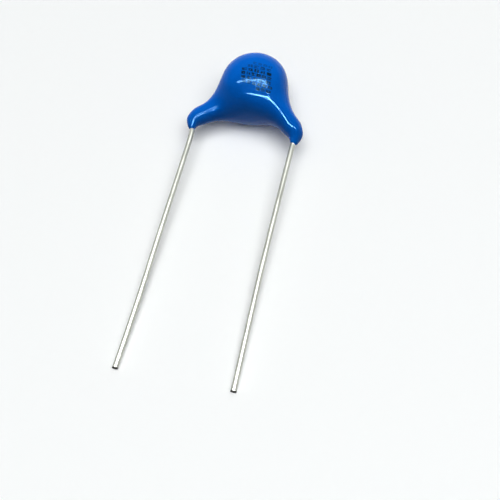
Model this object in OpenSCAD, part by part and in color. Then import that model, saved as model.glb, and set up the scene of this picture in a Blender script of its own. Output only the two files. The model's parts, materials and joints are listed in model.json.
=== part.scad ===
// Radial-lead ceramic disc capacitor with a dipped epoxy coat, lying on its flat side.
//
// Each piece is drawn in an upright frame: X runs across the pitch of the leads, Y from the
// lead exits (Y = 0) up to the dome, and Z through the thickness, with Z = 0 in the plane of the
// leads. lie_down() then tips that frame about X until the coat and both lead ends touch Z = 0.
//
// One lead is soldered to the front face of the ceramic disc and the other to the back face.
// The back pieces are the front ones turned half round about Y.

/* [Ceramic disc] */
// Diameter of the ceramic disc
disc_d = 4.6; // [4.2:0.1:5]
// Thickness of the ceramic disc
disc_t = 1.6; // [1.2:0.1:2]
// Chamfer around both edges of the disc
disc_chamfer = 0.1; // [0.05:0.05:0.2]
// Bare margin between the edge of the disc and its electrodes
electrode_margin = 0.4; // [0.3:0.05:0.6]
// Thickness of the fired silver electrodes
electrode_t = 0.04; // [0.03:0.01:0.08]

/* [Leads] */
// Distance between the two leads, centre to centre
lead_pitch = 10; // [9.6:0.1:10.4]
// Diameter of the lead wire
wire_d = 0.5; // [0.4:0.05:0.6]
// Length of the straight lead below its exit; the drip covers the top of it
lead_l = 25; // [15:1:35]
// Bend radius of the wire, to its centre line
bend_r = 1; // [0.8:0.1:1.2]
// Height above the lead exit at which the wire turns inwards
wire_turn_y = 0.65; // [0.55:0.05:0.75]
// How far outside the edge of the disc the wire comes level with the disc's face
wire_landing = 0.45; // [0.35:0.05:0.6]
// How far the end of the wire reaches past the centre of the disc
wire_past = 0.5; // [0.3:0.1:0.6]
// Angle between the leg of the coat and the centre line, seen from the centre of the disc
leg_splay = 43; // [38:1:48]

/* [Solder] */
// Diameter of the solder bead on each electrode
solder_d = 2.8; // [2.6:0.1:3.2]
// Film of solder between the electrode and the wire
solder_film = 0.05; // [0.03:0.01:0.1]
// Solder over the top of the wire, at the crown of the bead
solder_cover = 0.17; // [0.15:0.01:0.3]

/* [Epoxy coat] */
// Height of the centre of the disc above the lead exits
dome_y = 4.95; // [4.8:0.05:5.1]
// Epoxy around the edge of the disc
coat_edge = 0.9; // [0.8:0.05:1.1]
// Epoxy over the crown of each solder bead
coat_face = 1.35; // [1.2:0.05:1.5]
// Radius of the slight doming of each face
face_r = 6; // [5.5:0.25:9]
// Softness of the rounding between face and edge
rim_blend = 1.15; // [0.9:0.05:1.3]
// Epoxy around the wire at the tip of each leg
tip_wall = 0.42; // [0.36:0.02:0.48]
// Epoxy around the wire at the knee of each leg
knee_wall = 0.6; // [0.55:0.05:0.7]
// Epoxy around the wire at the root of each leg
root_wall = 1.05; // [0.95:0.05:1.15]
// Height of the round tip's centre above the lead exit
tip_y = 0.45; // [0.4:0.05:0.55]
// Distance along the leg from the wire's turn to the knee
knee_run = 0.6; // [0.5:0.1:0.9]
// Distance along the leg from the wire's turn to its root in the dome
root_run = 3.4; // [3.2:0.1:3.6]
// How far the root of a leg lies above its wire, towards the crown
root_rise = 0.3; // [0.2:0.05:0.4]
// How far the root of a leg lies towards the face that its wire is soldered to
root_lift = 0.3; // [0.2:0.05:0.4]
// Radius of the web of epoxy between the roots of the legs
web_r = 1.15; // [1.05:0.05:1.3]
// Softness of the joins between the legs, the web and the dome
web_blend = 1.25; // [1:0.05:1.5]
// Epoxy around the wire in the drip that has run down each lead
collar_wall = 0.18; // [0.14:0.02:0.24]
// Distance of the drip's round end below the lead exit
collar_l = 0.25; // [0.15:0.05:0.35]

/* [Hidden] */
$fn = 48;

// How finely the coat is drawn: rings from a leg's tip to the crown, and points round each ring
coat_rings = 36;
coat_sides = 36;
// Rings crowd towards the tips of the legs by this power
ring_crowding = 1.4;
// Steps that find the coat's surface along a ray, and the depth at which they start
surface_steps = 16;
surface_start = 0.2;
// Softness of the bend at the knee, and of the step between drip and tip
knee_blend = 0.3;
collar_blend = 0.3;
// Inside the coat the wire tapers by this much before its first bend. Its bends are thinner by
// the second amount, and turn this many degrees further into each straight run, so that the
// runs and bends join into one solid
entry_taper = 0.003;
bend_thinning = 0.007;
bend_overlap = 3;

electrode_d = disc_d - 2 * electrode_margin;
wire_r = wire_d / 2;
disc_centre = [0, dome_y, 0];

// Heights above the disc's middle plane, up through one side of the stack
electrode_top = disc_t / 2 + electrode_t;
wire_z = electrode_top + solder_film + wire_r;
solder_h = solder_film + wire_d + solder_cover;

dome_r = disc_d / 2 + coat_edge;
coat_half_t = electrode_top + solder_h + coat_face;

// ---- Route of the front lead ----

// Direction from the disc's centre to the root of the right-hand leg
leg_dir = [sin(leg_splay), -cos(leg_splay), 0];
lead_end = [lead_pitch / 2, -lead_l, 0];
wire_turn = [lead_pitch / 2, wire_turn_y, 0];
landing_flat = disc_centre + (disc_d / 2 + wire_landing) * leg_dir;
wire_landing_at = landing_flat + [0, 0, wire_z];
wire_end = disc_centre - wire_past * leg_dir + [0, 0, wire_z];

function unit(v) = v / norm(v);

// How far from a corner its bend starts and ends
function bend_reach(before, corner, after) =
    let (turn = acos(unit(corner - before) * unit(after - corner)))
    bend_r * tan(turn / 2);

// ---- Surface of the coat ----
// Each *_gap() gives about how far a point lies outside a shape, and is negative inside it.

along_leg = unit(landing_flat - wire_turn);
tip_at = [lead_pitch / 2, tip_y, 0];
knee_at = wire_turn + knee_run * along_leg;
root_flat = wire_turn + root_run * along_leg + [0, root_rise, 0];
root_at = root_flat + [0, 0, root_lift];
web_end = root_flat + [0, 0, root_lift / 2];
collar_end = [lead_pitch / 2, -collar_l, 0];
tip_r = wire_r + tip_wall;
knee_r = wire_r + knee_wall;
root_r = wire_r + root_wall;
collar_r = wire_r + collar_wall;
// Bare wire from the cut end of a lead up to the epoxy
bare_l = lead_l - collar_l - collar_r;

// The lesser of two gaps, with the crease between the two shapes filled in
function blend(a, b, softness) =
    let (share = min(max(0.5 + 0.5 * (b - a) / softness, 0), 1))
    b + share * (a - b) - softness * share * (1 - share);

// A round-ended cone from one point to another
function cone_gap(p, from, to, from_r, to_r) =
    let (along = to - from)
    let (share = min(max((p - from) * along / (along * along), 0), 1))
    norm(p - from - share * along) - from_r - share * (to_r - from_r);

// A round disc with domed faces and a soft edge: what lies inside both its edge and its faces
function dome_gap(p) =
    let (out = norm([p.x, p.y - dome_y]))
    let (edge = out - dome_r)
    let (face = norm([out, abs(p.z) + face_r - coat_half_t]) - face_r)
    -blend(-edge, -face, rim_blend);

// The leg over the front lead
function leg_gap(p) =
    let (shin = cone_gap(p, tip_at, knee_at, tip_r, knee_r))
    let (thigh = cone_gap(p, knee_at, root_at, knee_r, root_r))
    let (collar = cone_gap(p, collar_end, tip_at, collar_r, collar_r))
    blend(blend(shin, thigh, knee_blend), collar, collar_blend);

function turned(p) = [-p.x, p.y, -p.z];

function coat_gap(p) =
    let (legs = blend(leg_gap(p), leg_gap(turned(p)), web_blend))
    let (web = cone_gap(p, turned(web_end), web_end, web_r, web_r))
    blend(dome_gap(p), blend(legs, web, web_blend), web_blend);

// The point where a ray from inside the coat meets its surface
function surface_point(from, dir, out = surface_start, steps = surface_steps) =
    steps == 0
        ? from + out * dir
        : surface_point(from, dir, out - coat_gap(from + out * dir), steps - 1);

// The coat is drawn as rings in planes that fan out from the point midway between the lead
// exits. The rings' centres follow the spine, from a collar's end up through the leg to the disc.
spine = [collar_end, tip_at, knee_at, root_flat, disc_centre];

function azimuth(p) = atan2(p.y, p.x);

// Where the ray at this angle crosses the spine, or its nearest point below the collar's end
function ring_centre(angle, i = 0) =
    let (dir = [cos(angle), sin(angle), 0])
    angle <= azimuth(collar_end) ? (collar_end * dir) * dir
    : angle > azimuth(spine[i + 1]) && i < len(spine) - 2 ? ring_centre(angle, i + 1)
    : let (a = cross(spine[i], dir).z)
      let (b = cross(spine[i + 1], dir).z)
      spine[i] + (spine[i + 1] - spine[i]) * a / (a - b);

tip_angle = azimuth(collar_end) - asin(collar_r / norm(collar_end));

function ring_angle(i) = tip_angle + (90 - tip_angle) * pow(i / coat_rings, ring_crowding);

function ring(angle) = [
    for (side = [0 : coat_sides - 1])
    let (turn = 360 * side / coat_sides)
    surface_point(
        ring_centre(angle),
        [cos(turn) * cos(angle), cos(turn) * sin(angle), sin(turn)]
    )
];

// The same ring on the other leg, its points counted the same way round
function ring_on_back_leg(points) = [
    for (side = [0 : coat_sides - 1])
    turned(points[(coat_sides - side) % coat_sides])
];

// ---- Lying down ----

// The coat rests where its domed back face touches the line from the lead ends' undersides
to_face_centre = [dome_y + lead_l, face_r - coat_half_t + wire_r];
rest_tilt = asin(face_r / norm(to_face_centre)) - atan2(to_face_centre.y, to_face_centre.x);

// Highest and lowest Y once tipped, for an origin in the middle of the part
rest_y_max = max([for (p = ring(90)) p.y * cos(rest_tilt) - p.z * sin(rest_tilt)]);
rest_y_min = -lead_l * cos(rest_tilt) - wire_r * sin(rest_tilt);
rest_z_min = -lead_l * sin(rest_tilt) - wire_r * cos(rest_tilt);

module lie_down() {
    translate([0, -(rest_y_max + rest_y_min) / 2, -rest_z_min])
        rotate([rest_tilt, 0, 0])
            children();
}

module to_back() {
    rotate([0, 180, 0])
        children();
}

// ---- Solids in the upright frame ----

module disc_solid() {
    flat_r = disc_d / 2 - disc_chamfer;
    flat_z = disc_t / 2 - disc_chamfer;
    translate(disc_centre)
        rotate_extrude()
            polygon([
                [0, -disc_t / 2],
                [flat_r, -disc_t / 2],
                [disc_d / 2, -flat_z],
                [disc_d / 2, flat_z],
                [flat_r, disc_t / 2],
                [0, disc_t / 2],
            ]);
}

module electrode_solid() {
    translate(disc_centre + [0, 0, disc_t / 2])
        cylinder(d = electrode_d, h = electrode_t);
}

// The straight wire from its cut end up to the first bend: a true cylinder as far as it is bare
module bare_run(bend_start_y) {
    translate(lead_end)
        rotate([-90, 0, 0])
            rotate_extrude()
                polygon([
                    [0, 0],
                    [wire_r, 0],
                    [wire_r, bare_l],
                    [wire_r - entry_taper, lead_l + bend_start_y],
                    [0, lead_l + bend_start_y],
                ]);
}

// A straight run of wire between two points
module wire_run(from, to) {
    along = to - from;
    translate(from)
        rotate([0, acos(along.z / norm(along)), atan2(along.y, along.x)])
            cylinder(r = wire_r, h = norm(along));
}

// A bend of wire around the corner between two straight runs
module wire_bend(before, corner, after) {
    into = unit(corner - before);
    out = unit(after - corner);
    turn = acos(into * out);
    start = corner - bend_reach(before, corner, after) * into;
    hinge = unit(cross(into, out));
    outward = cross(into, hinge);
    centre = start - bend_r * outward;
    multmatrix([
        [outward.x, into.x, hinge.x, centre.x],
        [outward.y, into.y, hinge.y, centre.y],
        [outward.z, into.z, hinge.z, centre.z],
    ])
        rotate([0, 0, -bend_overlap])
            rotate_extrude(angle = turn + 2 * bend_overlap)
                translate([bend_r, 0])
                    circle(r = wire_r - bend_thinning);
}

module lead_solid() {
    turn_reach = bend_reach(lead_end, wire_turn, wire_landing_at);
    landing_reach = bend_reach(wire_turn, wire_landing_at, wire_end);
    slope_dir = unit(wire_landing_at - wire_turn);
    face_dir = unit(wire_end - wire_landing_at);

    bare_run(wire_turn_y - turn_reach);
    wire_bend(lead_end, wire_turn, wire_landing_at);
    wire_run(wire_turn + turn_reach * slope_dir, wire_landing_at - landing_reach * slope_dir);
    wire_bend(wire_turn, wire_landing_at, wire_end);
    wire_run(wire_landing_at + landing_reach * face_dir, wire_end);
}

// A round cap of solder on the electrode, with the wire still in it
module solder_cap() {
    cap_r = solder_d / 2;
    ball_r = (cap_r * cap_r + solder_h * solder_h) / (2 * solder_h);
    translate(disc_centre + [0, 0, electrode_top])
        intersection() {
            translate([0, 0, solder_h - ball_r])
                sphere(r = ball_r, $fn = 96);
            translate([-solder_d, -solder_d, 0])
                cube([2 * solder_d, 2 * solder_d, 2 * solder_h]);
        }
}

module solder_solid() {
    difference() {
        solder_cap();
        lead_solid();
    }
}

module coat_skin() {
    right = [for (i = [1 : coat_rings]) ring(ring_angle(i))];
    left = [for (i = [coat_rings - 2 : -1 : 0]) ring_on_back_leg(right[i])];
    rings = concat(right, left);
    right_tip = ring_centre(tip_angle);
    points = [
        for (r = rings)
        for (p = r) p,
        right_tip,
        turned(right_tip),
    ];
    last_ring = (len(rings) - 1) * coat_sides;
    first_tip = len(points) - 2;
    last_tip = len(points) - 1;
    faces = [
        for (side = [0 : coat_sides - 1])
        let (next = (side + 1) % coat_sides)
        each [
            [first_tip, side, next],
            [last_tip, last_ring + next, last_ring + side],
            for (start = [0 : coat_sides : last_ring - coat_sides])
            each [
                [start + side, start + coat_sides + side, start + next],
                [start + next, start + coat_sides + side, start + coat_sides + next],
            ],
        ]
    ];
    polyhedron(points, faces);
}

// ---- The pieces where they lie ----

module epoxy_coat() {
    color([0.03, 0.36, 0.74])
        lie_down()
            difference() {
                coat_skin();
                disc_solid();
                electrode_solid();
                solder_cap();
                lead_solid();
                to_back() {
                    electrode_solid();
                    solder_cap();
                    lead_solid();
                }
            }
}

module ceramic_disc() {
    color([0.72, 0.6, 0.45])
        lie_down()
            disc_solid();
}

module front_electrode() {
    color([0.86, 0.86, 0.84])
        lie_down()
            electrode_solid();
}

module back_electrode() {
    color([0.86, 0.86, 0.84])
        lie_down()
            to_back()
                electrode_solid();
}

module front_solder() {
    color([0.66, 0.67, 0.69])
        lie_down()
            solder_solid();
}

module back_solder() {
    color([0.66, 0.67, 0.69])
        lie_down()
            to_back()
                solder_solid();
}

module front_lead() {
    color([0.8, 0.8, 0.77])
        lie_down()
            lead_solid();
}

module back_lead() {
    color([0.8, 0.8, 0.77])
        lie_down()
            to_back()
                lead_solid();
}

epoxy_coat();
ceramic_disc();
front_electrode();
back_electrode();
front_solder();
back_solder();
front_lead();
back_lead();
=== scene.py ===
import json
import math

import bmesh
import bpy
from mathutils import Matrix, Vector

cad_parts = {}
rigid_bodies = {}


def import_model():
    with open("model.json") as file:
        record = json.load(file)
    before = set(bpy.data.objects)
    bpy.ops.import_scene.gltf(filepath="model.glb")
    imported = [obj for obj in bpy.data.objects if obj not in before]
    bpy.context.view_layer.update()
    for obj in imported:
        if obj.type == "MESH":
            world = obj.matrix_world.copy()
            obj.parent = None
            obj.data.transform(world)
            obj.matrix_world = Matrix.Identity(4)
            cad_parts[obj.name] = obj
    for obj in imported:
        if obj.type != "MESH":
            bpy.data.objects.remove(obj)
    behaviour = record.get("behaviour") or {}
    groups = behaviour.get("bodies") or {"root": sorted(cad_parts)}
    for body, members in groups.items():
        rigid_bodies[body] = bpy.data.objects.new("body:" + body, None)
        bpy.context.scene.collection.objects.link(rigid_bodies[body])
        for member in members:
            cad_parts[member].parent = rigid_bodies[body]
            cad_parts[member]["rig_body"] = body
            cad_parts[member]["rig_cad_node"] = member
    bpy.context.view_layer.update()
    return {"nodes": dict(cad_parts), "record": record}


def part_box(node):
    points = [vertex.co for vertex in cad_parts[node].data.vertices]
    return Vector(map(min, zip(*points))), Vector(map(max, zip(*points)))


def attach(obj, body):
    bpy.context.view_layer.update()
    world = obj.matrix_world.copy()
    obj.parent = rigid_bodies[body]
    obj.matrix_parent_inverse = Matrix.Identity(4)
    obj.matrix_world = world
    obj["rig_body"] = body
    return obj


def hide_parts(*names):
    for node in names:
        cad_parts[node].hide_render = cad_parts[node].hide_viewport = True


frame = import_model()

bl_info = {
    "name": "Ceramic Disc Capacitor",
    "version": (1, 0, 0),
    "blender": (4, 5, 0),
    "location": "3D View > Sidebar > Capacitor",
    "description": "Dresses a radial-lead ceramic disc capacitor and sets up its stage",
    "category": "Object",
}

MM = 0.001
# Points closer together than this are one point
MERGE = 0.001 * MM
NODES = frame["nodes"]
LEAD_MOUNTS = {m["name"].replace("_end", ""): m for m in frame["record"]["mounts"]}


# ---- Shared helpers ----

def select_only(obj):
    """Makes obj the only selected object, and the active one."""
    bpy.ops.object.select_all(action="DESELECT")
    obj.hide_set(False)
    obj.select_set(True)
    bpy.context.view_layer.objects.active = obj


def edit_mesh(obj):
    """Opens obj in edit mode with nothing selected, and gives its mesh."""
    select_only(obj)
    bpy.ops.object.mode_set(mode="EDIT")
    bpy.ops.mesh.select_mode(type="VERT")
    bpy.ops.mesh.select_all(action="DESELECT")
    return bmesh.from_edit_mesh(obj.data)


def leave_edit():
    """Closes edit mode, which keeps what was done in it."""
    bpy.ops.object.mode_set(mode="OBJECT")


def select_where(obj, test):
    """Selects the vertices of the mesh in edit mode whose place passes the test."""
    mesh = bmesh.from_edit_mesh(obj.data)
    for v in mesh.verts:
        v.select_set(bool(test(v.co)))
    mesh.select_flush(True)
    bmesh.update_edit_mesh(obj.data)


def add_modifier(obj, kind, name, **settings):
    """Adds a modifier, sets it and applies it."""
    select_only(obj)
    modifier = obj.modifiers.new(name, kind)
    for key, value in settings.items():
        setattr(modifier, key, value)
    bpy.ops.object.modifier_apply(modifier=modifier.name)


def copy_of_node(node, name):
    """A merged copy of a solid, as a new piece with its own mesh."""
    select_only(NODES[node])
    bpy.ops.object.duplicate()
    piece = bpy.context.object
    piece.name = name
    piece.data.name = name
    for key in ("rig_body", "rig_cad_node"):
        if key in piece:
            del piece[key]
    bpy.ops.object.parent_clear(type="CLEAR_KEEP_TRANSFORM")
    bpy.ops.mesh.customdata_custom_splitnormals_clear()
    edit_mesh(piece)
    bpy.ops.mesh.select_all(action="SELECT")
    bpy.ops.mesh.remove_doubles(threshold=MERGE)
    leave_edit()
    return piece


def scale_mesh(obj, factor):
    """Scales the mesh about the origin, because some tools need it in millimetres."""
    select_only(obj)
    obj.scale = (factor, factor, factor)
    bpy.ops.object.transform_apply(location=False, rotation=False, scale=True)


def in_mm(length):
    """A length in millimetres, rid of the rounding of a stored setting."""
    return round(length / MM, 6)


def finish_piece(piece, material, slot, *nodes):
    """Gives a piece its material and its body, and hides the solids that it stands for; the slot
    is not used.
    """
    piece.data.materials.clear()
    piece.data.materials.append(material)
    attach(piece, "root")
    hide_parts(*nodes)


# ---- Material helpers ----

class Shader:
    """A material under construction: each call adds a node, sets its sockets and links them."""

    def __init__(self, name):
        self.material = bpy.data.materials.new(name)
        self.material.use_nodes = True
        self.tree = self.material.node_tree
        self.surface = self.tree.nodes["Principled BSDF"]

    def add(self, kind, out=0, inputs=None, **settings):
        """Adds a node and gives one of its outputs."""
        node = self.tree.nodes.new(kind)
        for key, value in settings.items():
            setattr(node, key, value)
        for socket, value in (inputs or {}).items():
            self.put(node.inputs[socket], value)
        return node.outputs[out]

    def put(self, socket, value):
        """Links another node's output to a socket, or sets a plain value on it."""
        if isinstance(value, bpy.types.NodeSocket):
            self.tree.links.new(value, socket)
        else:
            socket.default_value = value

    def finish(self, **sockets):
        """Sets the surface's own sockets and gives the material."""
        for name, value in sockets.items():
            self.put(self.surface.inputs[name.replace("_", " ")], value)
        return self.material

    # Places on the piece

    def place(self):
        """The point on the piece, in millimetres."""
        at = self.add("ShaderNodeTexCoord", out="Object")
        return self.add(
            "ShaderNodeVectorMath", operation="SCALE", inputs={0: at, "Scale": 1 / MM}
        )

    def moved(self, at, origin, turn):
        """A point's place as seen from an origin, on axes that are turned."""
        return self.add(
            "ShaderNodeMapping",
            vector_type="TEXTURE",
            inputs={"Vector": at, "Location": tuple(origin), "Rotation": turn},
        )

    def split(self, vector):
        """The three parts of a vector."""
        node = self.tree.nodes.new("ShaderNodeSeparateXYZ")
        self.put(node.inputs[0], vector)
        return tuple(node.outputs)

    def dice(self, x, y, z):
        """Three chance numbers from 0 to 1, the same wherever x, y and z are the same."""
        cell = self.add("ShaderNodeCombineXYZ", inputs={0: x, 1: y, 2: z})
        return self.split(
            self.add("ShaderNodeTexWhiteNoise", out="Color", inputs={"Vector": cell})
        )

    # Patterns

    def noise(self, at, scale, detail=2.0, roughness=0.5):
        """Soft clouds, with so many to a millimetre."""
        return self.add(
            "ShaderNodeTexNoise",
            out="Fac",
            inputs={"Vector": at, "Scale": scale, "Detail": detail, "Roughness": roughness},
        )

    def grains(self, at, scale):
        """Scattered grains: the distance from the middle of the nearest one."""
        return self.add("ShaderNodeTexVoronoi", inputs={"Vector": at, "Scale": scale})

    # Sums

    def math(self, operation, *values):
        return self.add("ShaderNodeMath", operation=operation, inputs=dict(enumerate(values)))

    def product(self, first, *others):
        """All the values multiplied together."""
        for value in others:
            first = self.math("MULTIPLY", first, value)
        return first

    def between(self, value, low, high):
        """1 where the value lies between two limits, otherwise 0."""
        return self.product(
            self.math("GREATER_THAN", value, low), self.math("LESS_THAN", value, high)
        )

    def remap(self, value, low, high, to_low=0.0, to_high=1.0):
        """Stretches the span from low to high to another, and stops at its ends."""
        return self.add(
            "ShaderNodeMapRange", inputs={0: value, 1: low, 2: high, 3: to_low, 4: to_high}
        )

    def spread(self, noise, to_low=0.0, to_high=1.0):
        """Stretches the span that soft clouds mostly fill."""
        return self.remap(noise, 0.3, 0.7, to_low, to_high)

    # Colour and relief

    def mix(self, share, first, second):
        """A colour between two, by share."""
        node = self.tree.nodes.new("ShaderNodeMix")
        node.data_type = "RGBA"
        by_name = {socket.identifier: socket for socket in node.inputs}
        self.put(by_name["Factor_Float"], share)
        self.put(by_name["A_Color"], first)
        self.put(by_name["B_Color"], second)
        return next(s for s in node.outputs if s.identifier == "Result_Color")

    def shaded(self, colour, shade):
        """A colour made lighter or darker by a factor."""
        return self.add(
            "ShaderNodeVectorMath", operation="SCALE", inputs={0: tuple(colour), "Scale": shade}
        )

    def bump(self, height, distance, below=None):
        """Relief of a pattern, on top of the relief below it."""
        inputs = {"Height": height, "Distance": distance}
        if below is not None:
            inputs["Normal"] = below
        return self.add("ShaderNodeBump", inputs=inputs)


def rgba(colour, factor=1.0):
    """A colour as a socket takes it, made lighter or darker by a factor."""
    return (*(min(1.0, part * factor) for part in colour), 1.0)


# ---- Sizes and colours that a user may change ----

class CoatSettings(bpy.types.PropertyGroup):
    """Sizes and colours of the epoxy coat"""

    cell: bpy.props.FloatProperty(
        name="Cell", description="Size of the cells of the coat's mesh", default=0.07 * MM,
        subtype="DISTANCE",
    )
    softening: bpy.props.IntProperty(
        name="Softening", description="Smoothing passes over the coat", default=100,
    )
    growth: bpy.props.FloatProperty(
        name="Growth", description="Thickness that the smoothing takes off", default=0.05 * MM,
        subtype="DISTANCE",
    )
    fairing: bpy.props.IntProperty(
        name="Fairing", description="Further passes above the drips", default=700,
    )
    fair_growth: bpy.props.FloatProperty(
        name="Fair growth", description="Thickness that the fairing takes off",
        default=0.1 * MM, subtype="DISTANCE",
    )
    epoxy: bpy.props.FloatVectorProperty(
        name="Epoxy", description="Colour of the epoxy", subtype="COLOR", size=3,
        default=(0.0005, 0.135, 0.65),
    )
    ink: bpy.props.FloatVectorProperty(
        name="Ink", description="Colour of the printed marks", subtype="COLOR", size=3,
        default=(0.004, 0.02, 0.03),
    )


class LeadSettings(bpy.types.PropertyGroup):
    """Sizes and colours of the leads"""

    ring_step: bpy.props.FloatProperty(
        name="Ring step", description="Distance between rings along a lead", default=0.5 * MM,
        subtype="DISTANCE",
    )
    tin: bpy.props.FloatVectorProperty(
        name="Tin", description="Colour of the tinned wire", subtype="COLOR", size=3,
        default=(0.57, 0.59, 0.53),
    )
    # Painted shade: the cut end of each wire gets this near-black colour for the shade and dark
    # reflection it sits in, not the colour of its metal
    core: bpy.props.FloatVectorProperty(
        name="Core", description="Colour of the metal in a cut end", subtype="COLOR", size=3,
        default=(0.012, 0.011, 0.01),
    )


class CoreSettings(bpy.types.PropertyGroup):
    """Colours of the pieces inside the coat"""

    ceramic: bpy.props.FloatVectorProperty(
        name="Ceramic", description="Colour of the disc", subtype="COLOR", size=3,
        default=(0.5, 0.37, 0.23),
    )
    silver: bpy.props.FloatVectorProperty(
        name="Silver", description="Colour of the electrodes", subtype="COLOR", size=3,
        default=(0.74, 0.73, 0.7),
    )
    solder: bpy.props.FloatVectorProperty(
        name="Solder", description="Colour of the solder joints", subtype="COLOR", size=3,
        default=(0.56, 0.57, 0.59),
    )


class StageSettings(bpy.types.PropertyGroup):
    """Colours and brightness of the stage, and the camera's lens"""

    floor: bpy.props.FloatVectorProperty(
        name="Floor", description="Colour of the floor", subtype="COLOR", size=3,
        default=(0.955, 0.975, 0.975),
    )
    floor_bounce: bpy.props.FloatProperty(
        name="Floor bounce", description="Share of its light that the floor throws back",
        default=0.2, min=0.0, max=1.0, subtype="FACTOR",
    )
    sky: bpy.props.FloatProperty(
        name="Sky", description="Strength of the even light from all round", default=0.13,
    )
    main_tube: bpy.props.FloatProperty(
        name="Main tube", description="Brightness of the main lamp's surface", default=125,
    )
    second_tube: bpy.props.FloatProperty(
        name="Second tube", description="Brightness of the second lamp's surface", default=100,
    )
    softbox: bpy.props.FloatProperty(
        name="Softbox", description="Brightness of the soft lamp behind, on the coat", default=4.1,
    )
    ceiling: bpy.props.FloatProperty(
        name="Ceiling", description="Brightness of the soft lamp overhead, on the floor",
        default=3.85,
    )
    lens: bpy.props.FloatProperty(
        name="Lens", description="Focal length of the camera", default=64.765,
        subtype="DISTANCE_CAMERA",
    )


# ---- Where things are ----

# Directions as the part lies: across the leads, up along them, and out of their plane
ACROSS = Vector((1, 0, 0))
UP = -Vector(LEAD_MOUNTS["front_lead"]["axis"]).normalized()
OUT = ACROSS.cross(UP)
# Turns a place given across, up and out into the scene's own axes
STANDING = Matrix((ACROSS, UP, OUT)).transposed()
TILT = math.atan2(UP.z, UP.y)

BARE_L = LEAD_MOUNTS["front_lead"]["dims"]["length_mm"] * MM
LEAD_END = {name: Vector(mount["pos_m"]) for name, mount in LEAD_MOUNTS.items()}
# Middle of the two lead exits, at the ends of the drips
EXITS = sum(LEAD_END.values(), Vector()) / 2 + UP * BARE_L
DISC_CENTRE = sum(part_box("ceramic_disc"), Vector()) / 2


# ---- Epoxy coat ----

# The softening builds up between these heights above the lead exits, and between these
# distances from the plane of the leads, both in millimetres
FAIR_HEIGHTS = (0.8, 1.8)
FAIR_DEPTHS = (0.2, 0.9)
FAIR_BANDS = 10
# How far each smoothing pass moves a point towards the middle of its neighbours
SMOOTH_FACTOR = 0.5
# The coat's skin turns into its cavity at an edge sharper than this
EXIT_EDGE = math.radians(50)

# Where the dipped coat runs fuller or thinner, in millimetres: the place, how far the change
# reaches, and the move. Places and moves are across, up from the lead exits and out of the
# plane of the leads.
PUSHES = (
    ((3.9, 2.1, 1.1), 2.6, (0, 0, 0.3)),
    ((-0.5, 2.3, 2.2), 2.6, (0, 0, -0.14)),
    ((5.4, 1.1, 0.3), 1.2, (0, 0, 0.2)),
    ((-3.4, 2.6, 1.1), 2.6, (0, 0, -0.28)),
    ((0.9, 3.8, 2.8), 2.6, (0, 0, -0.21)),
    ((0.5, 2.8, 2.4), 1.8, (0, 0, 0.03)),
    ((4.9, 0.8, 1.0), 1.2, (0, 0, 0.06)),
    ((5.4, 0.3, 0.7), 1.2, (0, 0, -0.08)),
    ((1.0, 1.8, 1.6), 2.6, (0, 0, 0.1)),
    ((-3.6, 0.8, 0.4), 1.2, (0, 0, -0.09)),
    ((0.0, 2.8, 2.4), 1.2, (0, 0, 0.07)),
    ((-1.9, 2.8, 2.0), 2.6, (0, 0, -0.1)),
    ((5.4, 1.1, 0.4), 1.2, (0, 0, -0.2)),
    ((-3.5, 1.8, 0.7), 1.2, (0, 0, 0.05)),
    ((5.4, 0.6, 0.7), 1.2, (0, 0, -0.05)),
    ((-0.2, 3.3, 2.6), 1.8, (0, 0, 0.03)),
    # The drips run down the wires, and one ends in a pip
    ((-5.0, -0.1, 0.2), 0.9, (0.15, -0.2, 0)),
    ((5.0, -0.1, 0.2), 0.9, (-0.04, -0.22, 0)),
    ((5.25, -0.1, 0.1), 0.4, (0.04, -0.16, 0)),
)


def fair_share(point):
    """How much a point of the coat, in millimetres, takes part in the softening."""
    from_exits = point - EXITS / MM
    height = from_exits.dot(UP)
    depth = abs(from_exits.dot(OUT))
    low, high = FAIR_HEIGHTS
    near, far = FAIR_DEPTHS
    return max(0.0, min(1.0, (height - low) / (high - low), (depth - near) / (far - near)))


def epoxy_material(settings):
    """Glossy pigmented epoxy with a slight orange peel, and rows of plain printed marks."""
    s = Shader("glossy_blue_epoxy")
    at = s.place()

    # Pigment: a slow drift, a fine mottle and a few specks
    drift = s.spread(s.noise(at, 0.45), 0.93, 1.05)
    mottle = s.spread(s.noise(at, 6.0, detail=4.0), 0.96, 1.04)
    pigment = s.shaded(settings.epoxy, s.product(drift, mottle))
    specks = s.remap(s.grains(at, 2.2), 0.03, 0.06, 0.35, 0.0)
    pigment = s.mix(specks, pigment, rgba(settings.epoxy, 0.45))
    ink = printed_marks(s, at)

    peel = s.bump(s.noise(at, 2.4, detail=1.0), 0.0008 * MM)
    fine_peel = s.bump(s.noise(at, 9.0), 0.0003 * MM, below=peel)
    gloss = s.spread(s.noise(at, 3.0, detail=3.0), 0.05, 0.11)
    return s.finish(
        Base_Color=s.mix(ink, pigment, rgba(settings.ink)),
        Roughness=s.math("ADD", gloss, s.product(ink, 0.05)),
        IOR=1.46,
        Specular_IOR_Level=0.2,
        Specular_Tint=(0.2, 0.55, 1.0, 1.0),
        Normal=s.bump(ink, 0.003 * MM, below=fine_peel),
    )


# The printed block on the front face, in millimetres: its middle across and up from the disc's
# centre, its size, the turn of its rows, and how far the rows step aside for each step up
PRINT_MIDDLE = (0.66, -0.49)
PRINT_SIZE = (3.15, 2.9)
PRINT_TURN = math.radians(-3.0)
PRINT_LEAN = 0.2
PRINT_ROWS = 7
# Marks are wider in some rows than in others: the two spacings, in millimetres, and the share
# of the rows that have the wide one
WIDE_PITCH = 0.6
CLOSE_PITCH = 0.5
WIDE_SHARE = 0.45
# Each row starts up to this share of a mark further left
ROW_SHIFT = 0.3
PRINT_SEED = 3.0
# How far the ink's ragged edges wander either way, in millimetres
RAGGED = 0.035
# How far across its cell a mark ends
MARK_END = 0.9
# Space left free at the left of the top row and of the bottom row, in millimetres
TOP_INDENT = 1.3
BOTTOM_INDENT = 1.7
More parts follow.
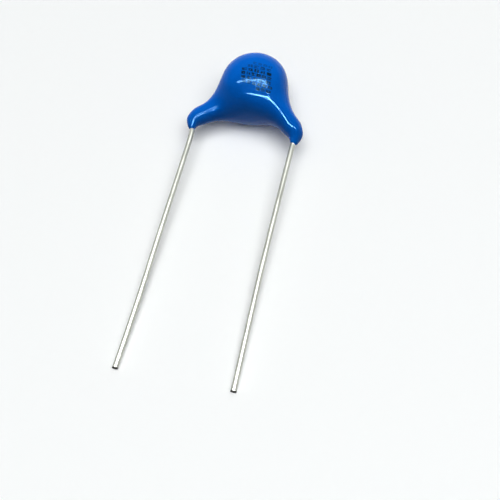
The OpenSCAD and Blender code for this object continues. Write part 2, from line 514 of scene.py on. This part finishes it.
# Each kind of mark takes this span of the chance numbers; the rest are solid blocks
KINDS = {
    "hole": (0.0, 0.25),
    "upright_gap": (0.25, 0.4),
    "level_gap": (0.4, 0.6),
    "bite": (0.6, 0.85),
}


def printed_marks(s, at):
    """Share of ink at a point: rows of plain bars, frames and blots on the front face."""
    face = s.moved(at, DISC_CENTRE / MM, (TILT, 0.0, 0.0))
    x, y, depth = s.split(s.moved(face, (*PRINT_MIDDLE, 0.0), (0.0, 0.0, PRINT_TURN)))
    x = s.math("ADD", x, s.spread(s.noise(at, 5.0, detail=3.0), -RAGGED, RAGGED))
    y = s.math("ADD", y, s.spread(s.noise(at, 4.4, detail=3.0), -RAGGED, RAGGED))
    x = s.math("MULTIPLY_ADD", y, PRINT_LEAN, x)

    up = s.math("MULTIPLY_ADD", y, PRINT_ROWS / PRINT_SIZE[1], PRINT_ROWS / 2)
    row = s.math("FLOOR", up)
    spacing, start, _ = s.dice(0.0, row, PRINT_SEED + 0.5)
    close = s.math("GREATER_THAN", spacing, WIDE_SHARE)
    per_mm = s.math("MULTIPLY_ADD", close, 1 / CLOSE_PITCH - 1 / WIDE_PITCH, 1 / WIDE_PITCH)
    across = s.product(s.math("ADD", x, PRINT_SIZE[0] / 2), per_mm)
    across = s.math("ADD", across, s.product(start, ROW_SHIFT))
    column = s.math("FLOOR", across)
    mark = mark_shape(s, across, up, s.dice(column, row, PRINT_SEED))

    # Only in the block, and only on the front face
    length = s.math("DIVIDE", s.math("ADD", column, MARK_END), per_mm)
    top_indent = s.remap(row, PRINT_ROWS - 3.0, PRINT_ROWS - 1.0, 0.0, TOP_INDENT)
    bottom_indent = s.remap(row, 0.0, 1.0, BOTTOM_INDENT, 0.0)
    indent = s.math("MAXIMUM", top_indent, bottom_indent)
    in_row = s.between(length, indent, PRINT_SIZE[0])
    in_block = s.between(row, -0.5, PRINT_ROWS - 0.5)
    in_front = s.math("GREATER_THAN", depth, 0.0)
    # The upper rows are worn thin, and the ink is patchy all over
    worn = s.remap(row, PRINT_ROWS - 3.0, PRINT_ROWS - 1.0, 0.97, 0.45)
    patchy = s.remap(s.noise(at, 4.0, detail=3.0), 0.35, 0.55, 0.6, 1.0)
    return s.product(mark, in_row, in_block, in_front, s.product(worn, patchy))


def mark_shape(s, across, up, dice):
    """One mark in its cell: a block whose size and kind differ from mark to mark."""
    # Distance from the middle of the cell: to the right, to either side, and up or down
    right = s.math("SUBTRACT", s.math("FRACT", across), 0.5)
    wide = s.math("ABSOLUTE", right)
    tall = s.math("ABSOLUTE", s.math("SUBTRACT", s.math("FRACT", up), 0.5))
    half_wide = s.remap(dice[0], 0.0, 1.0, 0.32, 0.42)
    half_tall = s.remap(dice[1], 0.0, 1.0, 0.33, 0.39)
    mark = s.product(
        s.remap(s.math("SUBTRACT", half_wide, wide), -0.04, 0.04),
        s.remap(s.math("SUBTRACT", half_tall, tall), -0.04, 0.04),
    )
    missing = {
        "hole": s.product(
            s.remap(wide, 0.05, 0.13, 1.0, 0.0), s.remap(tall, 0.04, 0.12, 1.0, 0.0)
        ),
        "upright_gap": s.remap(wide, 0.03, 0.09, 1.0, 0.0),
        "level_gap": s.remap(tall, 0.02, 0.08, 1.0, 0.0),
        "bite": s.product(s.remap(right, 0.02, 0.08), s.remap(tall, 0.1, 0.16, 1.0, 0.0)),
    }
    for kind, (low, high) in KINDS.items():
        gone = s.product(missing[kind], s.between(dice[2], low, high))
        mark = s.product(mark, s.math("SUBTRACT", 1.0, gone))
    return mark


class CAPACITOR_OT_coat(bpy.types.Operator):
    """Makes the dipped epoxy coat: one smooth skin over the disc and the tops of the leads"""

    bl_idname = "capacitor.coat"
    bl_label = "Epoxy coat"

    def execute(self, context):
        settings = context.scene.capacitor_coat
        coat = copy_of_node("epoxy_coat", "dipped_coat")

        self.keep_outer_skin(coat)
        # An even mesh, grown a little and then smoothed back to size, rounds off every join
        scale_mesh(coat, 1 / MM)
        add_modifier(coat, "REMESH", "cells", mode="VOXEL", voxel_size=in_mm(settings.cell))
        self.grow(context, coat, in_mm(settings.growth), in_mm(settings.fair_growth))
        self.smooth(coat, "fair", settings.fairing, vertex_group="fair")
        for place, reach, move in PUSHES:
            self.push(coat, place, reach, move)
        self.smooth(coat, "soften", settings.softening)
        scale_mesh(coat, MM)
        select_only(coat)
        bpy.ops.object.shade_smooth()
        finish_piece(coat, epoxy_material(settings), "epoxy", "epoxy_coat")
        return {"FINISHED"}

    def keep_outer_skin(self, coat):
        """Parts the skin from the cavity at the sharp edge of each exit, and closes it."""
        edit_mesh(coat)
        bpy.ops.mesh.select_mode(type="EDGE")
        bpy.ops.mesh.edges_select_sharp(sharpness=EXIT_EDGE)
        bpy.ops.mesh.edge_split(type="EDGE")
        bpy.ops.mesh.select_mode(type="VERT")
        far = max(v.co.y for v in bmesh.from_edit_mesh(coat.data).verts)
        select_where(coat, lambda p: p.y > far - MERGE)
        bpy.ops.mesh.select_linked()
        bpy.ops.mesh.select_all(action="INVERT")
        bpy.ops.mesh.delete(type="VERT")
        bpy.ops.mesh.select_all(action="SELECT")
        bpy.ops.mesh.remove_doubles(threshold=MERGE)
        bpy.ops.mesh.fill_holes(sides=0)
        leave_edit()

    def grow(self, context, coat, growth, fair_growth):
        """Grows the coat by what the smoothing will take off, and marks where it gets softer."""
        coat.vertex_groups.active = coat.vertex_groups.new(name="fair")
        edit_mesh(coat)
        bpy.ops.mesh.select_all(action="SELECT")
        bpy.ops.transform.shrink_fatten(value=growth)
        # Softer by bands, away from the drips and the rim
        for band in range(1, FAIR_BANDS + 1):
            select_where(coat, lambda p: band <= fair_share(p) * FAIR_BANDS < band + 1)
            share = band / FAIR_BANDS
            context.tool_settings.vertex_group_weight = share
            bpy.ops.object.vertex_group_assign()
            bpy.ops.transform.shrink_fatten(value=fair_growth * share)
        leave_edit()

    def smooth(self, coat, name, passes, **settings):
        """Smooths the coat all over, or by the weights of a vertex group."""
        add_modifier(
            coat, "SMOOTH", name, factor=SMOOTH_FACTOR, iterations=passes, **settings
        )

    def push(self, coat, place, reach, move):
        """Pushes the coat out, or in, round one place, fading out over the reach."""
        spot = EXITS / MM + STANDING @ Vector(place)
        mesh = edit_mesh(coat)
        nearest = min(mesh.verts, key=lambda v: (v.co - spot).length_squared).co.copy()
        select_where(coat, lambda p: (p - nearest).length < MERGE / MM)
        bpy.ops.transform.translate(
            value=STANDING @ Vector(move),
            use_proportional_edit=True,
            proportional_edit_falloff="SMOOTH",
            proportional_size=reach,
        )
        leave_edit()


# ---- Leads ----

# Rings near a cut end, in millimetres from it, and how far each is squeezed: across and down
CUT_RINGS = (0.04, 0.1, 0.18, 0.3)
CUT_SCALES = ((1.0, 0.84), (1.06, 0.9), (1.05, 0.96), (1.02, 0.99), (1.0, 1.0))
# Where the evenly spaced rings begin, in millimetres from the cut end
FIRST_RING = 0.5
# Rings where a wire leaves the coat, in millimetres above the end of the drip
EXIT_RINGS = (0.0, 0.15, 0.3, 0.45, 0.6, 0.75)
# Half the thickness of the slice that picks one ring of a wire
RING_REACH = 0.006 * MM
# How close to a cut an existing point counts as being on it
CUT_REACH = 0.0001 * MM
# Triangles that meet at less than this angle become four-sided faces, whatever their shape
FLAT_ANGLE = math.radians(20)
ANY_SHAPE = math.radians(180)
# Edges sharper than this stay sharp
SHARP_ANGLE = math.radians(40)
# How far each wire wanders sideways from a straight line, in millimetres: the share of the bare
# length below the coat, and the shift in X there. Above the first place the wire is hidden.
WANDER = {
    "front_lead": (
        (-0.036, 0.0), (-0.01, -0.08), (0.0, -0.09), (0.05, -0.1), (0.25, -0.11),
        (0.5, -0.1), (0.75, 0.0), (1.0, 0.13),
    ),
    "back_lead": (
        (-0.036, 0.0), (-0.01, 0.17), (0.0, 0.19), (0.05, 0.23), (0.25, 0.17),
        (0.5, 0.09), (0.75, 0.03), (1.0, -0.13),
    ),
}


def tin_material(settings, end):
    """Hot-tinned wire: drawn streaks, dull patches, and a sheared end painted near-black as
    painted shade.
    """
    s = Shader("tinned_wire")
    at = s.place()
    along = s.moved(at, end / MM, (TILT, 0.0, 0.0))
    _, from_end, _ = s.split(along)
    drawn = s.add("ShaderNodeMapping", inputs={"Vector": along, "Scale": (9.0, 0.35, 9.0)})
    streaks = s.noise(drawn, 1.0, detail=3.0)
    patches = s.noise(at, 0.9, detail=3.0)
    grain = s.noise(at, 14.0)

    shade = s.product(s.spread(streaks, 0.86, 1.08), s.remap(patches, 0.35, 0.7, 1.03, 0.9))
    tin = s.shaded(settings.tin, shade)
    # The sheared face is painted near-black, as painted shade and a painted dark reflection in
    # place of its metal's own colour, and the tin is bruised just above it
    cut = s.remap(from_end, 0.05, 0.12, 1.0, 0.0)
    bruise = s.remap(from_end, 0.1, 0.7, 0.35, 0.0)
    tin = s.mix(bruise, tin, rgba(settings.tin, 0.45))
    dullness = s.remap(patches, 0.35, 0.7, 0.29, 0.42)
    return s.finish(
        Base_Color=s.mix(cut, tin, rgba(settings.core)),
        Metallic=s.remap(cut, 0.0, 1.0, 0.7, 0.1),
        Roughness=s.math("ADD", dullness, s.product(cut, 0.15)),
        Specular_IOR_Level=0.1,
        Normal=s.bump(grain, 0.002 * MM, below=s.bump(streaks, 0.004 * MM)),
    )


def slope_at(places, i):
    """The slope of a wire's curve at one of its places, level at the first."""
    if i == 0:
        return 0.0
    low, high = places[i - 1], places[min(i + 1, len(places) - 1)]
    return (high[1] - low[1]) / (high[0] - low[0])


def wander_at(name, place):
    """The sideways shift of a wire at a distance from its cut end, along a smooth curve."""
    places = WANDER[name]
    share = 1 - place / BARE_L
    if share <= places[0][0]:
        return places[0][1] * MM
    for i in range(len(places) - 1):
        (low, before), (high, after) = places[i], places[i + 1]
        if share > high:
            continue
        span = high - low
        t = (share - low) / span
        entry, leave = (slope_at(places, n) * span for n in (i, i + 1))
        shift = (
            before
            + (after - before) * (3 * t**2 - 2 * t**3)
            + entry * (t - 2 * t**2 + t**3)
            + leave * (t**3 - t**2)
        )
        return shift * MM
    return places[-1][1] * MM


class CAPACITOR_OT_leads(bpy.types.Operator):
    """Makes both wire leads: slightly bowed, with a pinched and sheared end"""

    bl_idname = "capacitor.leads"
    bl_label = "Leads"

    def execute(self, context):
        settings = context.scene.capacitor_leads
        rings = int(BARE_L / settings.ring_step)
        places = [place * MM for place in CUT_RINGS]
        places += [FIRST_RING * MM + i * settings.ring_step for i in range(rings)]
        places += [BARE_L + place * MM for place in EXIT_RINGS]
        for name in ("front_lead", "back_lead"):
            lead = copy_of_node(name, "wire_" + name)
            end = LEAD_END[name]
            edit_mesh(lead)
            self.cut_rings(end, places)
            self.bend(lead, name, end, [0.0, *places])
            self.shear_end(lead, name, end)
            leave_edit()
            select_only(lead)
            bpy.ops.object.shade_smooth_by_angle(angle=SHARP_ANGLE)
            finish_piece(lead, tin_material(settings, end), "tinned_wire", name)
        return {"FINISHED"}

    def cut_rings(self, end, places):
        """Cuts a ring round the wire at each place."""
        # Without the long diagonals, each cut gives one clean ring
        bpy.ops.mesh.select_all(action="SELECT")
        bpy.ops.mesh.tris_convert_to_quads(
            face_threshold=FLAT_ANGLE, shape_threshold=ANY_SHAPE
        )
        for place in places:
            bpy.ops.mesh.select_all(action="SELECT")
            bpy.ops.mesh.bisect(plane_co=end + UP * place, plane_no=UP, threshold=CUT_REACH)

    def select_ring(self, lead, centre):
        """Selects the ring of points round a place on the wire."""
        select_where(lead, lambda p: abs((p - centre).dot(UP)) < RING_REACH)

    def bend(self, lead, name, end, places):
        """Shifts each ring of the wire sideways, so that it isn't dead straight."""
        for place in places:
            self.select_ring(lead, end + UP * place)
            bpy.ops.transform.translate(value=(wander_at(name, place), 0, 0))

    def shear_end(self, lead, name, end):
        """Pinches the last bit of wire, as side cutters leave it."""
        lying = Matrix.Rotation(TILT, 3, "X")
        for ring, (wide, flat) in zip([0.0, *CUT_RINGS], CUT_SCALES):
            place = ring * MM
            centre = end + UP * place + Vector((wander_at(name, place), 0, 0))
            self.select_ring(lead, centre)
            bpy.ops.transform.resize(
                value=(wide, 1.0, flat),
                orient_type="GLOBAL",
                orient_matrix=lying,
                orient_matrix_type="GLOBAL",
                center_override=centre,
            )


# ---- Pieces inside the coat ----

# Second colours of the materials, beside those that a user may change
CERAMIC_GRAIN = (0.36, 0.25, 0.15, 1)
CERAMIC_CLOUD = (0.58, 0.45, 0.3, 1)
CERAMIC_SPECK = (0.12, 0.08, 0.05, 1)
TARNISH = (0.5, 0.43, 0.33, 1)
FLUX = (0.34, 0.25, 0.12, 1)


def ceramic_material(colour):
    """Fired ceramic: matt tan with fine grain and dark specks."""
    s = Shader("fired_ceramic")
    at = s.place()
    grain = s.noise(at, 12.0, detail=5.0, roughness=0.7)
    cloud = s.remap(s.noise(at, 0.9), 0.35, 0.65, 0.0, 0.4)
    specks = s.remap(s.grains(at, 5.0), 0.05, 0.1, 0.7, 0.0)
    tan = s.mix(s.spread(grain), rgba(colour), CERAMIC_GRAIN)
    tan = s.mix(cloud, tan, CERAMIC_CLOUD)
    return s.finish(
        Base_Color=s.mix(specks, tan, CERAMIC_SPECK),
        Roughness=s.spread(grain, 0.6, 0.8),
        Normal=s.bump(grain, 0.01 * MM),
    )


def silver_material(colour):
    """Screen-printed silver: satin, with the weave of the screen and a little tarnish."""
    s = Shader("fired_silver")
    at = s.place()
    clouds = s.noise(at, 1.3, detail=4.0)
    tarnish = s.remap(clouds, 0.45, 0.75, 0.0, 0.7)
    return s.finish(
        Base_Color=s.mix(tarnish, rgba(colour), TARNISH),
        Metallic=1.0,
        Roughness=s.spread(clouds, 0.38, 0.55),
        Normal=s.bump(s.grains(at, 14.0), 0.004 * MM),
    )


def solder_material(colour):
    """Set solder: bright, with frosted grain and traces of flux."""
    s = Shader("solder")
    at = s.place()
    frost = s.grains(at, 5.0)
    flux = s.remap(s.noise(at, 1.8, detail=3.0), 0.55, 0.7, 0.0, 0.5)
    return s.finish(
        Base_Color=s.mix(flux, rgba(colour), FLUX),
        Metallic=1.0,
        Roughness=s.remap(frost, 0.0, 0.5, 0.2, 0.4),
        Normal=s.bump(frost, 0.012 * MM),
    )


class CAPACITOR_OT_core(bpy.types.Operator):
    """Gives the disc, its electrodes and its solder joints their materials"""

    bl_idname = "capacitor.core"
    bl_label = "Disc, electrodes and solder"

    def execute(self, context):
        settings = context.scene.capacitor_core
        silver = silver_material(settings.silver)
        solder = solder_material(settings.solder)
        finishes = {
            "ceramic_disc": ceramic_material(settings.ceramic),
            "front_electrode": silver,
            "back_electrode": silver,
            "front_solder": solder,
            "back_solder": solder,
        }
        for node, material in finishes.items():
            for slot in NODES[node].material_slots:
                slot.material = material
        return {"FINISHED"}


# ---- Stage ----

# Camera: where it stands, the point on the floor it looks at, and its roll
CAMERA_AT = Vector((17.871, -42.890, 68.572)) * MM
CAMERA_AIM = Vector((3.208, -2.871, 0.0)) * MM
CAMERA_ROLL = math.radians(-7.633)
# The nearest and furthest that it sees
CAMERA_NEAR = 1 * MM
CAMERA_FAR = 10.0

# The floor, in metres: a flat disc of the first radius that curves up all round by a quarter
# circle of the second
FLOOR_FLAT = 0.5
FLOOR_RISE = 0.35
FLOOR_SIDES = 96
FLOOR_STEPS = 12

# The tube lamps hang level above the disc's centre, and are turned by the same angle. Each
# one's place is how far to the right its middle is, and how far behind the disc's centre its
# line passes, both as shares of that height.
TUBE_HEIGHT = 0.3
TUBE_TURN = math.radians(19.5)
TUBES = {
    "main_tube": {"side": 0.2, "back": -0.3, "length": 0.38, "width": 0.022},
    "second_tube": {"side": -0.2, "back": 0.02, "length": 0.24, "width": 0.012},
}
# Each soft lamp: where it hangs, its size, whether glossy surfaces mirror it, and the objects
# that it lights
SOFT_LAMPS = {
    "softbox": {
        "at": (-0.03, 0.25, 0.5),
        "size": 0.5,
        "mirrored": False,
        "lights": ("dipped_coat",),
    },
    "ceiling": {
        "at": (0.2, -0.2, 1.0),
        "size": 1.0,
        "mirrored": True,
        "lights": ("floor", "wire_front_lead", "wire_back_lead"),
    },
}


def floor_material(settings):
    """Matt white card with a barely visible grain, which throws back little of its light."""
    s = Shader("white_card")
    at = s.place()
    grain = s.noise(at, 1.5, detail=4.0)
    pale = s.mix(s.spread(grain), rgba(settings.floor, 0.995), rgba(settings.floor))
    path = s.tree.nodes.new("ShaderNodeLightPath")
    seen = s.math("MAXIMUM", path.outputs["Is Camera Ray"], path.outputs["Is Glossy Ray"])
    seen = s.math("MAXIMUM", seen, path.outputs["Is Transmission Ray"])
    return s.finish(
        Base_Color=s.mix(seen, rgba(settings.floor, settings.floor_bounce), pale),
        Roughness=0.7,
        Specular_IOR_Level=0.1,
        Normal=s.bump(grain, 0.004 * MM),
    )


class CAPACITOR_OT_stage(bpy.types.Operator):
    """Sets up the pale floor that curves up all round, the lamps and the camera"""

    bl_idname = "capacitor.stage"
    bl_label = "Floor, lamps and camera"

    def execute(self, context):
        settings = context.scene.capacitor_stage
        self.make_floor(settings)
        self.make_world(context, settings)
        for name, tube in TUBES.items():
            self.make_tube(name, tube, getattr(settings, name))
        for name, soft in SOFT_LAMPS.items():
            self.make_soft_lamp(name, soft, getattr(settings, name))
        self.make_camera(context, settings)
        context.scene.view_settings.view_transform = "Standard"
        return {"FINISHED"}

    def make_floor(self, settings):
        """A round floor whose rim curves up, so that no horizon shows."""
        bpy.ops.object.select_all(action="DESELECT")
        bpy.ops.mesh.primitive_circle_add(
            vertices=FLOOR_SIDES, radius=FLOOR_FLAT, fill_type="NGON"
        )
        floor = bpy.context.object
        floor.name = "floor"
        edit_mesh(floor)
        bpy.ops.mesh.select_mode(type="EDGE")
        bpy.ops.mesh.select_all(action="SELECT")
        # The rim is drawn outwards and up, step by step round the curve
        radius, height = FLOOR_FLAT, 0.0
        for i in range(FLOOR_STEPS):
            angle = math.pi / 2 * (i + 1) / FLOOR_STEPS
            new_radius = FLOOR_FLAT + FLOOR_RISE * math.sin(angle)
            new_height = FLOOR_RISE * (1 - math.cos(angle))
            bpy.ops.mesh.extrude_edges_move()
            bpy.ops.transform.resize(
                value=(new_radius / radius, new_radius / radius, 1),
                center_override=(0, 0, height),
            )
            bpy.ops.transform.translate(value=(0, 0, new_height - height))
            radius, height = new_radius, new_height
        leave_edit()
        bpy.ops.object.shade_smooth()
        floor.data.materials.append(floor_material(settings))

    def make_world(self, context, settings):
        """An even white light from all round."""
        world = bpy.data.worlds.new("even_light")
        world.use_nodes = True
        sky = world.node_tree.nodes["Background"]
        sky.inputs["Color"].default_value = (1, 1, 1, 1)
        sky.inputs["Strength"].default_value = settings.sky
        context.scene.world = world

    def make_tube(self, name, tube, brightness):
        """A long narrow lamp that only shows as a highlight."""
        slope = math.tan(TUBE_TURN)
        place = DISC_CENTRE + TUBE_HEIGHT * Vector(
            (tube["side"], tube["back"] + slope * tube["side"], 1.0)
        )
        bpy.ops.object.light_add(type="AREA", location=place, rotation=(0, 0, TUBE_TURN))
        lamp = bpy.context.object
        lamp.name = name
        lamp.data.shape = "RECTANGLE"
        lamp.data.size = tube["length"]
        lamp.data.size_y = tube["width"]
        lamp.data.energy = brightness * math.pi * tube["length"] * tube["width"]
        lamp.visible_diffuse = False

    def make_soft_lamp(self, name, soft, brightness):
        """A wide lamp that faces the disc's centre and lights only the objects named."""
        place = Vector(soft["at"])
        toward = (DISC_CENTRE - place).to_track_quat("-Z", "Y")
        bpy.ops.object.light_add(type="AREA", location=place, rotation=toward.to_euler())
        lamp = bpy.context.object
        lamp.name = name
        lamp.data.shape = "SQUARE"
        lamp.data.size = soft["size"]
        lamp.data.energy = brightness * math.pi * soft["size"] ** 2
        lamp.visible_glossy = soft["mirrored"]
        lit = bpy.data.collections.new("lit_by_" + name)
        for lit_name in soft["lights"]:
            lit.objects.link(bpy.data.objects[lit_name])
        lamp.light_linking.receiver_collection = lit

    def make_camera(self, context, settings):
        """The camera, aimed and then rolled about its line of sight."""
        look = (CAMERA_AIM - CAMERA_AT).to_track_quat("-Z", "Y")
        turn = look @ Matrix.Rotation(CAMERA_ROLL, 3, "Z").to_quaternion()
        bpy.ops.object.camera_add(location=CAMERA_AT, rotation=turn.to_euler())
        camera = bpy.context.object
        camera.name = "camera"
        camera.data.lens = settings.lens
        camera.data.clip_start = CAMERA_NEAR
        camera.data.clip_end = CAMERA_FAR
        context.scene.camera = camera


# ---- Panel and main ----

OPERATORS = (
    CAPACITOR_OT_coat,
    CAPACITOR_OT_leads,
    CAPACITOR_OT_core,
    CAPACITOR_OT_stage,
)
SETTINGS = {
    "capacitor_coat": CoatSettings,
    "capacitor_leads": LeadSettings,
    "capacitor_core": CoreSettings,
    "capacitor_stage": StageSettings,
}


class CAPACITOR_PT_panel(bpy.types.Panel):
    """Lists the steps, and the sizes and colours that they use"""

    bl_idname = "CAPACITOR_PT_panel"
    bl_label = "Ceramic disc capacitor"
    bl_space_type = "VIEW_3D"
    bl_region_type = "UI"
    bl_category = "Capacitor"

    def draw(self, context):
        for operator in OPERATORS:
            self.layout.operator(operator.bl_idname)
        for name, group in SETTINGS.items():
            box = self.layout.box()
            for key in group.__annotations__:
                box.prop(getattr(context.scene, name), key)


def register():
    for cls in (*SETTINGS.values(), *OPERATORS, CAPACITOR_PT_panel):
        bpy.utils.register_class(cls)
    for name, group in SETTINGS.items():
        setattr(bpy.types.Scene, name, bpy.props.PointerProperty(type=group))


def unregister():
    for name in SETTINGS:
        delattr(bpy.types.Scene, name)
    for cls in reversed((*SETTINGS.values(), *OPERATORS, CAPACITOR_PT_panel)):
        bpy.utils.unregister_class(cls)


def main():
    """Makes everything in order."""
    register()
    bpy.ops.capacitor.coat()
    bpy.ops.capacitor.leads()
    bpy.ops.capacitor.core()
    bpy.ops.capacitor.stage()


if __name__ == "__main__":
    main()
